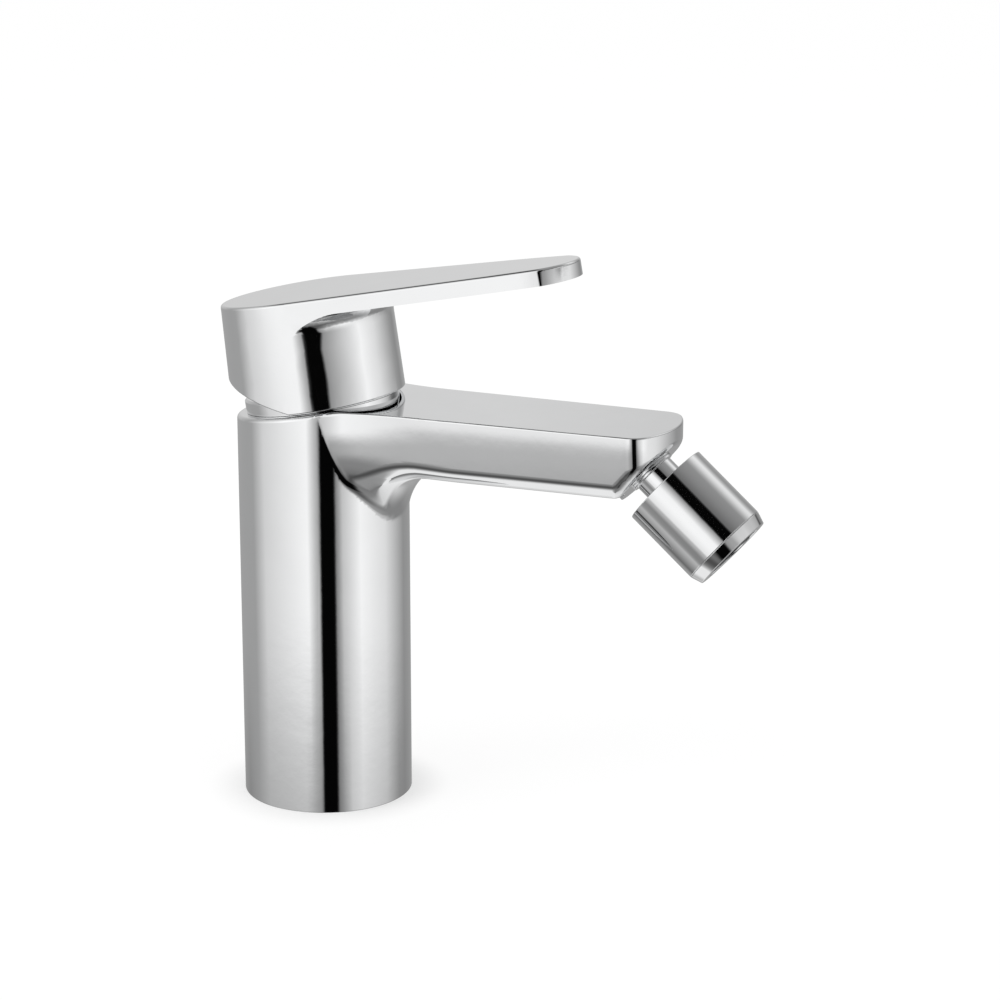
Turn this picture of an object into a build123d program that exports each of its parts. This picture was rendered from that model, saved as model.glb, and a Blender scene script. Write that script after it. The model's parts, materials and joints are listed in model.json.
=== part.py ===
from build123d import *

import math
import os

# A single-lever bidet mixer, one STEP file per piece, in millimetres.
# X is the way the spout points, Z is up, the origin is on the body's axis at the foot face.

# General
overrun = 1.0
running_gap = 0.08
fit_gap = 0.05
free_gap = 0.3

# Body and spout
body_radius = 23.0
top_height = 109.3
top_slope_angle = 9.5
rear_edge_radius = 1.2
spout_rise = 2.0
spout_depth = 17.6
spout_top = top_height + spout_rise
spout_underside = spout_top - spout_depth
spout_reach = 100.7
spout_inset = 5.1
spout_half_width = body_radius - spout_inset
spout_side_angle = 1.23
nose_radius = 27.0
nose_corner_radius = 6.0
spout_edge_radius = 5.0
blend_radius = 65.0
blend_overlap = 0.04
root_radius = 8.5
chin_radius = 3.5
spout_rim_radius = 0.5
foot_rim_radius = 0.3
land_inset = 2.4
land_radius = body_radius - land_inset
land_depth = 4.0

# Waterways of the body
inlet_hole_radius = 4.5
inlet_hole_depth = 12.0
inlet_spread = 9.0
riser_radius = 2.8
stud_hole_radius = 3.4
stud_hole_depth = 16.0
stud_offset = 12.0
cavity_half_width = 10.0
cavity_floor = 4.3
cavity_roof = 6.3
cavity_low = spout_underside + cavity_floor
cavity_high = spout_top - cavity_roof
cavity_end = 85.5

# Foot seal
foot_seal_inset = 1.8
foot_seal_width = 2.8
foot_seal_outer = body_radius - foot_seal_inset
foot_seal_inner = foot_seal_outer - foot_seal_width
foot_seal_depth = 1.8

# Cartridge stack, measured along its own axis from the body's sloping top, downwards
chamber_radius = 14.2
chamber_depth = 29.0
nut_thread_radius = 15.2
shoulder_depth = 2.0
base_radius = 14.0
base_height = 3.0
base_step = 1.0
base_step_radius = 11.3
port_radius = 2.5
port_forward = 4.0
port_side = 6.0
outlet_port_back = 5.5
outlet_port_radius = 2.8
base_channel_half = 3.0
base_channel_low = 1.2
peg_radius = 1.2
peg_length = 1.6
peg_forward = 4.0
peg_side = 11.0
seal_ring_outer = 4.4
seal_ring_inner = 3.2
seal_ring_height = 0.9
gasket_height = 0.6
fixed_disc_height = 3.0
fixed_disc_radius = 11.2
moving_disc_height = 2.8
moving_disc_radius = 8.4
mixing_back = 7.2
mixing_front = 6.3
mixing_half_width = 4.6
mixing_depth = 1.3
driver_height = 4.0
driver_radius = 8.6
driver_lug_width = 3.0
driver_lug_depth = 1.4
driver_lug_side = 7.2
rib_side = 6.0
rib_width = 1.6
rib_height = 1.4
rib_length = 9.0
housing_radius = 13.2
housing_bore = 11.4
housing_neck_radius = 10.5
housing_neck_bore = 9.0
housing_neck_top = 8.0
flange_radius = 14.0
flange_height = 4.0
bore_shoulder_depth = 6.8
upper_seal_height = 1.6
upper_seal_inner = 12.9
upper_seal_depth = 4.8

# Stem carrier and limit ring
carrier_top = 9.8
slot_low = 5.2
slot_high = 6.4
stem_size = 7.0
slot_gap = 0.1
lug_radius = 10.3
lug_low = 8.2
lug_angle = 30.0
swing_stop_angle = 50.5
limit_ring_top = 10.0
limit_ring_outer = 10.5
limit_tab_width = 3.0
limit_tab_depth = 1.5

# Stem
pivot_depth = 3.0
pin_radius = 1.25
pin_length = 17.0
stem_lean_angle = 11.0
ball_drop = 12.6
stem_ball_radius = 2.6
stem_rod_radius = 2.2
square_low = 4.0
square_high = 28.0

# Shroud and retaining nut
shroud_radius = land_radius
shroud_wall = 1.9
shroud_bore = shroud_radius - shroud_wall
spigot_radius = shroud_bore - 2 * fit_gap
spigot_top = 2.0
shroud_seal_width = 1.9
shroud_seal_inner = spigot_radius - shroud_seal_width
shroud_seal_top = 2.8
shroud_top = 3.8
shroud_lip_bore = shroud_seal_inner - 4 * fit_gap
shroud_chamfer = 0.6
nut_flange_inset = 0.4
nut_flange_radius = spigot_radius - nut_flange_inset
nut_top = 5.6
nut_bore = 10.9
nut_notch_width = 3.0
nut_notch_depth = 1.4
nut_notches = 4

# Handle
cap_base_drop = 8.3
cap_base_height = top_height - cap_base_drop
cap_lean_angle = 7.3
cap_overhang = 0.62
cap_taper = 1.21
cap_foot_radius = body_radius + cap_overhang
cap_crown_radius = cap_foot_radius - cap_taper
cap_length = 50.0
cap_wall = 1.0
cap_step_height = 17.0
cap_upper_wall = 2.91
cap_upper_bore = cap_crown_radius - cap_upper_wall
cap_rise = 38.66
plate_height = cap_base_height + cap_rise
plate_slope_angle = 10.2
plate_thickness = 4.4
plate_inset = 0.26
plate_back_half = cap_crown_radius - plate_inset
plate_mid = 50.0
plate_narrowing = 7.65
plate_mid_half = plate_back_half - plate_narrowing
plate_corner = 67.5
plate_corner_share = 0.752
plate_corner_half = plate_mid_half * plate_corner_share
plate_corner_radius = 3.0
plate_tip = 74.0
rim_height = 0.6
rim_break = 1.5
rim_slope_angle = 22.3
eye_radius = 4.5
lever_edge_radius = 0.8
cap_rim_radius = 0.4
boss_size = 13.0
boss_low = 18.5
socket_size = 9.5
socket_high = 28.6
rib_thickness = 9.0
sleeve_outer = 9.4
sleeve_inner = 7.1
screw_height = 23.0
screw_radius = 2.45
screw_hole_radius = 2.5
screw_length = 10.0
screw_hex = 1.44
screw_hex_depth = 3.0
plug_radius = 2.85
plug_hole_radius = 2.9
plug_inner_end = 17.5

# Outlet, measured along its own axis from the housing's top end, downwards
nozzle_back = 3.02
nozzle_lift = 2.27
nozzle_x = spout_reach - nozzle_back
nozzle_z = spout_underside + nozzle_lift
nozzle_angle = 131.2
face_rise = 5.0
boss_radius = 10.8
boss_rise = 16.0
bore_radius = 5.5
bore_rise = 14.0
face_cut_half = 17.0
ball_depth = 5.8
ball_radius = 7.6
neck_radius = 5.6
nipple_flange_radius = 6.6
nipple_flange_height = 0.8
nipple_rise = 10.5
nipple_bore = 3.0
nipple_seal_outer = 6.4
nipple_seal_height = 1.0
seat_inner = 7.65
seat_outer = 9.55
socket_radius = 9.6
upper_seat_start_angle = 64.5
upper_seat_end_angle = 88.0
lower_seat_start_angle = 109.0
lower_seat_end_angle = 139.0
ball_seal_angle = 125.0
ball_seal_radius = 8.4
ball_seal_minor = 0.78
ball_seal_groove = 0.82
outlet_radius = 12.0
outlet_length = 21.7
mouth_radius = 7.6
mouth_throat = 7.25
mouth_depth = 1.67
outlet_bore = 10.25
socket_ring_radius = 10.2
socket_end_angle = 155.0
socket_ring_end = 16.2
washer_end = 17.4
washer_bore = 6.0
insert_flange_end = 18.0
insert_flange_radius = 10.1
insert_radius = 9.2
insert_end = 21.0
insert_wall = 1.2
insert_jets = 8
insert_jet_radius = 0.9
insert_jet_circle = 5.6
insert_floor = 1.4
coarse_end = 21.5
fine_screen_height = 0.25
fine_screen_gap = 0.1
fine_screen_count = 3
grid_start = 22.6
grid_end = 23.9
screen_radius = 9.1
ring_bore = 9.3
ring_shank_radius = 10.2
ring_end = 24.8
ring_end_radius = 11.0
ring_lip_bore = 8.6
hole_pitch = 2.3
coarse_hole_radius = 0.8
grid_hole_radius = 0.95
hole_field_radius = 7.6

cartridge = Location((0, 0, top_height), (0, -top_slope_angle, 0))
pivot = cartridge * Pos(0, 0, -pivot_depth)
stem = pivot * Rot(0, stem_lean_angle, 0)
cap = Location((0, 0, cap_base_height), (0, -cap_lean_angle, 0))
plate = Location((0, 0, plate_height), (0, -plate_slope_angle, 0))
nozzle = Location((nozzle_x, 0, nozzle_z), (0, nozzle_angle, 0))
everything = 2 * (body_radius + spout_reach)

# Heights of the cartridge stack above the sloping top, so the inner ones are below zero
floor_w = -chamber_depth
base_w = floor_w + base_height
gasket_w = base_w + base_step
fixed_w = gasket_w + gasket_height
moving_w = fixed_w + fixed_disc_height
driver_w = moving_w + moving_disc_height
driver_top_w = driver_w + driver_height
carrier_w = driver_top_w + free_gap
drum_top_w = -bore_shoulder_depth - running_gap
flange_w = -shoulder_depth - flange_height
disc_travel = ball_drop * math.sin(math.radians(stem_lean_angle))


def rod(radius, low, high):
    """A round rod about Z between two heights."""
    align = (Align.CENTER, Align.CENTER, Align.MIN)
    return Pos(0, 0, low) * Cylinder(radius, high - low, align=align)


def ring(outer, inner, low, high):
    """A plain ring about Z between two heights."""
    return rod(outer, low, high) - rod(inner, low - overrun, high + overrun)


def block(x_size, y_size, low, high):
    """A block centred on Z between two heights."""
    align = (Align.CENTER, Align.CENTER, Align.MIN)
    return Pos(0, 0, low) * Box(x_size, y_size, high - low, align=align)


def bar(radius, start, end):
    """A round bar along X between two distances."""
    return Rot(0, 90, 0) * rod(radius, start, end)


def turned(points):
    """The solid that a profile of radius and height points makes about Z."""
    profile = Polyline([(radius, 0, height) for radius, height in points], close=True)
    return revolve(make_face(profile), Axis.Z)


def prism(points, half_width):
    """A solid whose outline of X and Z points runs along Y, both ways from the middle."""
    outline = make_face(Polyline([(x, 0, z) for x, z in points], close=True))
    return extrude(outline, half_width, dir=(0, 1, 0), both=True)


def polar_point(radius, angle):
    """A point of the outlet's XZ plane at an angle from the top end of the ball's axis."""
    turn = math.radians(angle)
    return (radius * math.sin(turn), 0, ball_depth - radius * math.cos(turn))


def zone(inner, outer, start, end):
    """A ring of a hollow ball between two angles from the top of its axis."""
    middle = (start + end) / 2
    sides = [
        ThreePointArc(*[polar_point(outer, angle) for angle in (start, middle, end)]),
        Line(polar_point(outer, end), polar_point(inner, end)),
        ThreePointArc(*[polar_point(inner, angle) for angle in (end, middle, start)]),
        Line(polar_point(inner, start), polar_point(outer, start)),
    ]
    return revolve(make_face(sides), Axis.Z)


def hole_field(radius, low, high):
    """Round pins in rows of a honeycomb, which cut the holes of a screen."""
    rows = int(hole_field_radius / hole_pitch)
    row_pitch = hole_pitch * math.sin(math.radians(60))
    pins = []
    for row in range(-rows - 1, rows + 2):
        shift = hole_pitch / 2 * (row % 2)
        for column in range(-rows - 1, rows + 2):
            x, y = column * hole_pitch + shift, row * row_pitch
            if math.hypot(x, y) <= hole_field_radius:
                pins.append(Pos(x, y, 0) * rod(radius, low - overrun, high + overrun))
    return pins


# Mixer body
def spout_plan():
    """The spout's plan, with the long arcs that blend it into the body."""
    taper = math.radians(spout_side_angle)
    along = (math.cos(taper), math.sin(taper))
    out = (math.sin(taper), -math.cos(taper))
    side = spout_half_width * math.cos(taper) + blend_radius
    reach = body_radius + blend_radius - blend_overlap
    forward = math.sqrt(reach**2 - side**2)
    centre = [out[i] * side + along[i] * forward for i in range(2)]
    distance = math.hypot(*centre)
    start = tuple(value * (distance - blend_radius) / distance for value in centre)
    end = tuple(centre[i] - blend_radius * out[i] for i in range(2))
    turns = [math.atan2(p[1] - centre[1], p[0] - centre[0]) for p in (start, end)]
    half = sum(turns) / 2
    middle = (centre[0] + blend_radius * math.cos(half), centre[1] + blend_radius * math.sin(half))
    nose_x, slope = spout_reach, math.tan(taper)
    for _ in range(40):
        half_width = spout_half_width - nose_x * slope
        nose_x = spout_reach - nose_radius + math.sqrt(nose_radius**2 - half_width**2)
    corner = (nose_x, nose_x * slope - spout_half_width)
    near = [Line((0, 0), start), ThreePointArc(start, middle, end), Line(end, corner)]
    front = ThreePointArc(corner, (spout_reach, 0), (corner[0], -corner[1]))
    far = [mirror(piece, Plane.XZ) for piece in near]
    return make_face([*near, front, *far]), corner


def spout_prism(low, high):
    """The spout's plan carried up between two heights, its nose corners rounded."""
    plan, corner = spout_plan()
    solid = Pos(0, 0, low) * extrude(plan, high - low, dir=(0, 0, 1))
    corners = [
        edge
        for edge in solid.edges()
        if abs(edge.tangent_at(0.5).Z) > 0.9
        and abs(edge.center().X - corner[0]) < fit_gap
    ]
    return fillet(corners, nose_corner_radius)


def on_column(edge):
    """Whether an edge runs on the surface of the round body."""
    points = [edge.position_at(share) for share in (0, 0.5, 1)]
    return all(abs(math.hypot(p.X, p.Y) - body_radius) < fit_gap / 5 for p in points)


def nozzle_rise(point):
    """How far a point lies above the outlet's top end, along the outlet's axis."""
    return (nozzle.position - point).dot(Plane(nozzle).z_dir)


def body_shell():
    """The casting's outside: the round body, the spout, the sloping top and the outlet face."""
    spout = spout_prism(spout_underside, spout_top)
    underside = spout.faces().sort_by(Axis.Z)[0]
    rounded = [edge for edge in underside.edges() if edge.center().X > body_radius / 2]
    spout = fillet(rounded, spout_edge_radius)
    shell = rod(body_radius, 0, spout_top) + spout
    root = [
        edge
        for edge in shell.edges()
        if on_column(edge)
        and spout_underside - fit_gap < edge.center().Z < spout_top - spout_edge_radius
    ]
    shell = fillet([edge for edge in root if edge.center().X > 0], root_radius)
    shell -= cartridge * block(everything, everything, 0, everything)
    rear = [
        edge
        for edge in shell.edges()
        if on_column(edge) and edge.center().Z > spout_underside and edge.center().X < 0
    ]
    shell = fillet(rear, rear_edge_radius)
    boss = nozzle * rod(boss_radius, -boss_rise, -face_rise)
    shell += boss & spout_prism(spout_underside - boss_radius, spout_top)
    face_cut = block(2 * face_cut_half, 2 * face_cut_half, -face_rise, outlet_radius)
    shell -= nozzle * face_cut
    chin = [
        edge
        for edge in shell.edges()
        if abs(nozzle_rise(edge.position_at(0.5)) - face_rise) < fit_gap / 5
        and edge.center().Z > spout_underside + spout_edge_radius + fit_gap
        and edge.center().X > spout_reach - boss_radius + fit_gap
    ]
    shell = fillet([edge for edge in chin if edge.length > spout_edge_radius], chin_radius)
    crease = (spout_top - top_height) / math.tan(math.radians(top_slope_angle))
    rim = [
        edge
        for edge in shell.edges()
        if all(abs(edge.position_at(share).Z - spout_top) < fit_gap / 5 for share in (0, 0.5, 1))
        and edge.center().X > crease + fit_gap
    ]
    shell = fillet(rim, spout_rim_radius)
    foot = [edge for edge in shell.edges() if edge.center().Z < fit_gap and on_column(edge)]
    return fillet(foot, foot_rim_radius)


def port_point(forward, side, w):
    """The place in the shared frame of a point of the cartridge."""
    return (cartridge * Pos(forward, side, w)).position


def riser(side):
    """The channel from one inlet hole up to its port in the chamber floor."""
    top = port_point(port_forward, side * port_side, floor_w + overrun)
    foot = Vector(top.X, side * inlet_spread, inlet_hole_depth - overrun)
    way = top - foot
    return Plane(origin=foot, z_dir=way) * rod(riser_radius, 0, way.length)


def make_mixer_body():
    """The casting with its chamber, channels, threaded holes and seats."""
    solid = body_shell()
    solid += cartridge * rod(land_radius, -land_depth, 0)
    solid += cartridge * rod(spigot_radius, -land_depth, spigot_top)
    solid -= cartridge * rod(chamber_radius, floor_w, 0)
    solid -= cartridge * rod(nut_thread_radius, -shoulder_depth, spigot_top + overrun)
    inlet_x = port_point(port_forward, port_side, floor_w + overrun).X
    for side in (1, -1):
        inlet = rod(inlet_hole_radius, -overrun, inlet_hole_depth)
        solid -= Pos(inlet_x, side * inlet_spread, 0) * inlet
        solid -= riser(side)
        peg_hole = rod(peg_radius + fit_gap, floor_w - peg_length - free_gap, floor_w + overrun)
        solid -= cartridge * Pos(peg_forward, side * peg_side, 0) * peg_hole
    solid -= Pos(-stud_offset, 0, 0) * rod(stud_hole_radius, -overrun, stud_hole_depth)
    solid -= ring(foot_seal_outer, foot_seal_inner, -overrun, foot_seal_depth)
    start = chamber_radius / 2
    middle = (start + cavity_end) / 2
    cavity = block(cavity_end - start, 2 * cavity_half_width, cavity_low, cavity_high)
    solid -= Pos(middle, 0, 0) * cavity
    solid -= nozzle * rod(bore_radius, -bore_rise, 0)
    seat = rod(nipple_seal_outer, -face_rise - nipple_seal_height, 0)
    return solid - nozzle * seat


# Cartridge
def inlet_pins(radius, low, high):
    """Two rods where hot and cold water pass."""
    return [
        Pos(port_forward, side * port_side, 0) * rod(radius, low, high) for side in (1, -1)
    ]


def make_cartridge_base():
    """The base under the discs, with its ports, side channel and locating pegs."""
    solid = rod(base_radius, floor_w, base_w) + rod(base_step_radius, base_w, gasket_w)
    for side in (1, -1):
        peg = rod(peg_radius, floor_w - peg_length, floor_w)
        solid += Pos(peg_forward, side * peg_side, 0) * peg
    solid -= inlet_pins(port_radius, floor_w - overrun, gasket_w + overrun)
    solid -= inlet_pins(seal_ring_outer, floor_w - overrun, floor_w + seal_ring_height)
    channel_w = floor_w + base_channel_low
    outlet = Pos(-outlet_port_back, 0, 0) * rod(outlet_port_radius, channel_w, gasket_w + overrun)
    length = base_radius + overrun - outlet_port_back
    channel = block(length, 2 * base_channel_half, channel_w, base_w)
    channel = Pos(-outlet_port_back - length / 2, 0, 0) * channel
    return cartridge * (solid - outlet - channel)


def make_inlet_seals():
    """Two rubber rings between the base and the chamber floor."""
    seals = [
        Pos(port_forward, side * port_side, 0)
        * ring(seal_ring_outer, seal_ring_inner, floor_w, floor_w + seal_ring_height)
        for side in (1, -1)
    ]
    return [cartridge * seal for seal in seals]


def ported_disc(radius, low, high):
    """A disc with the two inlet ports and the outlet port."""
    solid = rod(radius, low, high) - inlet_pins(port_radius, low - overrun, high + overrun)
    outlet = rod(outlet_port_radius, low - overrun, high + overrun)
    return cartridge * (solid - Pos(-outlet_port_back, 0, 0) * outlet)


def driver_lugs(width, depth):
    """The two lugs that carry the moving disc with its driver."""
    outer = moving_disc_radius - driver_lug_side
    return [
        Pos(0, side * (driver_lug_side + outer), 0)
        * block(width, 2 * outer, driver_w - depth, driver_w)
        for side in (1, -1)
    ]


def make_moving_disc():
    """The ceramic disc with the pocket in which hot and cold meet."""
    solid = rod(moving_disc_radius, moving_w, driver_w)
    pocket = []
    for x in (mixing_half_width - mixing_back, mixing_front - mixing_half_width):
        pocket.append(
            Pos(x, 0, 0) * rod(mixing_half_width, moving_w - overrun, moving_w + mixing_depth)
        )
    length = mixing_back + mixing_front - 2 * mixing_half_width
    middle = (mixing_front - mixing_back) / 2
    bridge = block(length, 2 * mixing_half_width, moving_w - overrun, moving_w + mixing_depth)
    pocket.append(Pos(middle, 0, 0) * bridge)
    solid -= pocket
    solid -= driver_lugs(driver_lug_width + 2 * fit_gap, driver_lug_depth + fit_gap)
    return cartridge * Pos(-disc_travel, 0, 0) * solid


def make_disc_driver():
    """The plastic driver, with the stem's ball pocket and the ribs that guide it."""
    solid = rod(driver_radius, driver_w, driver_top_w)
    for side in (1, -1):
        rib = block(rib_length, rib_width, driver_top_w, driver_top_w + rib_height)
        solid += Pos(0, side * rib_side, 0) * rib
    rim = rod(moving_disc_radius, moving_w, driver_w)
    solid += [lug & rim for lug in driver_lugs(driver_lug_width, driver_lug_depth)]
    pocket = rod(stem_ball_radius + running_gap + fit_gap, driver_w - overrun, carrier_w + overrun)
    return cartridge * Pos(-disc_travel, 0, 0) * (solid - pocket)


def make_cartridge_housing():
    """The plastic housing that holds the discs and guides the carrier."""
    solid = rod(housing_radius, base_w, flange_w) + rod(flange_radius, flange_w, -shoulder_depth)
    solid += rod(housing_neck_radius, -shoulder_depth, housing_neck_top)
    solid -= rod(housing_bore, base_w - overrun, -bore_shoulder_depth)
    solid -= rod(housing_neck_bore, -bore_shoulder_depth - overrun, housing_neck_top + overrun)
    seal_low = -upper_seal_depth
    groove = ring(flange_radius + overrun, upper_seal_inner, seal_low, seal_low + upper_seal_height)
    solid -= groove
    notch_low = housing_neck_top - limit_tab_depth - fit_gap
    notch_width = limit_tab_width + 2 * fit_gap
    notch = block(notch_width, 2 * limit_ring_outer + overrun, notch_low, housing_neck_top + overrun)
    return cartridge * (solid - notch)


def make_upper_seal():
    """The rubber ring between the housing and the chamber wall."""
    low = -upper_seal_depth
    return cartridge * ring(chamber_radius, upper_seal_inner, low, low + upper_seal_height)


def wedge(half_angle, radius, low, high):
    """A sector about X of the given half angle, from the axis out."""
    reach = radius / math.cos(math.radians(half_angle))
    turn = math.radians(half_angle)
    tip = (radius, reach * math.sin(turn), low)
    face = make_face(Polyline([(0, 0, low), tip, (tip[0], -tip[1], low)], close=True))
    return extrude(face, high - low, dir=(0, 0, 1))


def make_limit_ring():
    """The ring whose window stops the turn of the carrier at both ends."""
    inner = housing_neck_bore + fit_gap
    solid = ring(limit_ring_outer, inner, housing_neck_top, limit_ring_top)
    half_window = (swing_stop_angle + lug_angle / 2) / 2
    window = wedge(
        half_window,
        limit_ring_outer + overrun,
        housing_neck_top - overrun,
        limit_ring_top + overrun,
    )
    for side in (1, -1):
        solid -= Rot(0, 0, side * half_window) * window
    low = housing_neck_top - limit_tab_depth
    tabs = block(limit_tab_width, 2 * limit_ring_outer, low, housing_neck_top)
    tabs &= ring(limit_ring_outer, inner, low, housing_neck_top)
    return cartridge * (solid + tabs)


def make_stem_carrier():
    """The plastic carrier that turns with the handle and holds the pivot pin."""
    drum_radius = housing_bore - running_gap
    shaft_radius = housing_neck_bore - running_gap
    solid = rod(drum_radius, carrier_w, drum_top_w) + rod(shaft_radius, drum_top_w, carrier_top)
    lug = ring(lug_radius, shaft_radius - fit_gap, lug_low, carrier_top)
    solid += lug & wedge(lug_angle / 2, lug_radius + overrun, lug_low, carrier_top)
    low, high = carrier_w - overrun, carrier_top + overrun
    slot = [(-slot_low, low), (slot_low, low), (slot_high, high), (-slot_high, high)]
    solid -= prism(slot, stem_size / 2 + slot_gap)
    groove_top = driver_top_w + rib_height + 2 * fit_gap
    groove_width = rib_width + 4 * fit_gap
    groove = block(2 * drum_radius + overrun, groove_width, carrier_w - overrun, groove_top)
    for side in (1, -1):
        solid -= Pos(0, side * rib_side, 0) * groove
    pin_hole = rod(pin_radius, -pin_length, pin_length)
    solid -= Pos(0, 0, -pivot_depth) * Rot(90, 0, 0) * pin_hole
    return cartridge * solid


def make_pivot_pin():
    """The steel pin across the carrier, which the stem tilts on."""
    return pivot * Rot(90, 0, 0) * rod(pin_radius, -pin_length / 2, pin_length / 2)


def make_lever_stem():
    """The square stem with the ball that pushes the disc driver."""
    solid = block(stem_size, stem_size, -square_low, square_high)
    solid += rod(stem_rod_radius, -ball_drop, -square_low)
    solid += Pos(0, 0, -ball_drop) * Sphere(stem_ball_radius)
    hole = rod(pin_radius + fit_gap, -stem_size, stem_size)
    return stem * (solid - Rot(90, 0, 0) * hole)


# Shroud and nut
def make_shroud_ring():
    """The polished ring round the neck between the body and the handle."""
    points = [
        (shroud_bore, fit_gap),
        (shroud_radius, fit_gap),
        (shroud_radius, shroud_top - shroud_chamfer),
        (shroud_radius - shroud_chamfer, shroud_top),
        (shroud_lip_bore, shroud_top),
        (shroud_lip_bore, shroud_seal_top),
        (shroud_bore, shroud_seal_top),
    ]
    return cartridge * turned(points)


def make_shroud_seal():
    """The rubber ring between the body's neck and the shroud's lip."""
    return cartridge * ring(spigot_radius, shroud_seal_inner, spigot_top, shroud_seal_top)


def make_retaining_nut():
    """The brass nut that holds the cartridge down and the shroud on."""
    thread = nut_thread_radius - fit_gap
    solid = rod(thread, -shoulder_depth, shroud_top) + rod(nut_flange_radius, shroud_top, nut_top)
    solid -= rod(nut_bore, -shoulder_depth - overrun, nut_top + overrun)
    for index in range(nut_notches):
        notch = block(2 * nut_notch_depth, nut_notch_width, shroud_top - overrun, nut_top + overrun)
        solid -= Rot(0, 0, index * 360 / nut_notches) * Pos(nut_flange_radius, 0, 0) * notch
    return cartridge * solid


# Handle
def plate_outline():
    """The lever's outline on its own top plane: straight, then curved in to a blunt tip."""
    back, middle = (0, -plate_back_half), (plate_mid, -plate_mid_half)
    corner = (plate_corner, -plate_corner_half)
    rise = plate_back_half - plate_mid_half
    near = [Line(back, middle), TangentArc(middle, corner, tangent=(plate_mid, rise))]
    tip = ThreePointArc(corner, (plate_tip, 0), (plate_corner, plate_corner_half))
    far = [mirror(piece, Plane.XZ) for piece in near]
    return make_face([*near, tip, *far, Line((0, plate_back_half), back)])


def lever_plate():
    """The lever alone, a flat plate whose two front corners are rounded."""
    solid = Pos(0, 0, -plate_thickness) * extrude(plate_outline(), plate_thickness, dir=(0, 0, 1))
    corners = [
        edge
        for edge in solid.edges()
        if abs(edge.tangent_at(0.5).Z) > 0.9 and abs(edge.center().X - plate_corner) < fit_gap
    ]
    return plate * fillet(corners, plate_corner_radius)


def cap_cone(inset, low, high):
    """The cap's tapering round, smaller by an inset, between two heights on its axis."""
    taper = (cap_foot_radius - cap_crown_radius) / cap_length
    radii = [cap_foot_radius - taper * height - inset for height in (low, high)]
    align = (Align.CENTER, Align.CENTER, Align.MIN)
    return Pos(0, 0, low) * Cone(radii[0], radii[1], high - low, align=align)


def beside_lever(side):
    """What lies outside the lever's side plane, from its underside down."""
    slope = plate_narrowing / plate_mid
    ends = [(x, plate_back_half - slope * x) for x in (0, plate_mid)]
    corners = [*ends, *[(x, y + body_radius) for x, y in reversed(ends)]]
    outline = make_face(Polyline([(x, side * y, 0) for x, y in corners], close=True))
    depth = plate_thickness + 2 * eye_radius
    return plate * Pos(0, 0, -depth) * extrude(outline, depth, dir=(0, 0, 1))


def lever_root():
    """The cap's front with the hollow curve that sweeps up into the lever's underside."""
    above = plate * block(everything, everything, -plate_thickness, everything)
    slab = plate * block(everything, everything, -plate_thickness, 0)
    solid = cap * cap_cone(0, 0, cap_length) - above + slab
    under = [
        edge
        for edge in solid.edges()
        if edge.geom_type == GeomType.ELLIPSE and on_plate(edge, plate_thickness)
    ]
    solid = fillet(under, eye_radius) - above
    behind = block(everything, everything, -everything, 0)
    solid -= plate * Pos(-everything / 2, 0, 0) * behind
    for side in (1, -1):
        solid -= beside_lever(side)
    return solid


def on_plate(edge, depth):
    """Whether an edge lies in the plane a given depth under the lever's top."""
    up = Plane(plate).z_dir
    points = [edge.position_at(share) for share in (0, 0.5, 1)]
    return all(abs((point - plate.position).dot(up) + depth) < fit_gap / 5 for point in points)


def handle_outside():
    """The handle's outside: the leaning cap cut at its rim, and the lever."""
    above = plate * block(everything, everything, 0, everything)
    cap_solid = cap * cap_cone(0, 0, cap_length) - above
    far = 2 * body_radius
    rise = (far + rim_break) * math.tan(math.radians(rim_slope_angle))
    below = [
        (rim_break, rim_height),
        (far, rim_height),
        (far, -far),
        (-far, -far),
        (-far, rim_height + rise),
    ]
    solid = cap_solid + lever_plate() + lever_root()
    solid -= cartridge * prism(below, far)
    solid = fillet([edge for edge in solid.edges() if on_plate(edge, 0)], lever_edge_radius)
    rim = [
        edge
        for edge in solid.edges()
        if edge.geom_type == GeomType.ELLIPSE
        and edge.center().Z < plate_height - cap_step_height
    ]
    return fillet(rim, cap_rim_radius)


def make_handle(outside):
    """The handle with its hollow, the boss round the stem and the screw's tunnel."""
    roof = plate * block(everything, everything, -plate_thickness, everything)
    hollow = cap * cap_cone(cap_wall, -cap_length, cap_step_height)
    hollow += cap * rod(cap_upper_bore, 0, cap_length) - roof
    inner = block(boss_size, boss_size, boss_low, cap_length)
    inner += Pos(-body_radius, 0, 0) * block(2 * body_radius, rib_thickness, boss_low, cap_length)
    solid = outside - hollow + (outside & stem * inner)
    solid -= stem * block(socket_size, socket_size, boss_low - overrun, socket_high)
    tunnel = bar(screw_hole_radius, -body_radius, 0)
    tunnel += bar(plug_hole_radius, -2 * body_radius, -plug_inner_end)
    return solid - stem * Pos(0, 0, screw_height) * tunnel


def make_stem_sleeve():
    """The plastic bush between the square stem and the handle."""
    solid = block(sleeve_outer, sleeve_outer, boss_low, square_high)
    solid -= block(sleeve_inner, sleeve_inner, boss_low - overrun, square_high + overrun)
    window = bar(screw_hole_radius, -sleeve_outer, 0)
    return stem * (solid - Pos(0, 0, screw_height) * window)


def make_set_screw():
    """The grub screw that holds the handle on the stem."""
    inner = -stem_size / 2
    solid = bar(screw_radius, inner - screw_length, inner)
    socket = extrude(RegularPolygon(screw_hex, 6), screw_hex_depth + overrun)
    socket = Pos(inner - screw_length - overrun, 0, 0) * Rot(0, 90, 0) * socket
    return stem * Pos(0, 0, screw_height) * (solid - socket)


def make_index_plug(outside):
    """The plain plug over the screw's tunnel, flush with the cap."""
    plug = bar(plug_radius, -2 * body_radius, -plug_inner_end)
    return outside & stem * Pos(0, 0, screw_height) * plug


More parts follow.
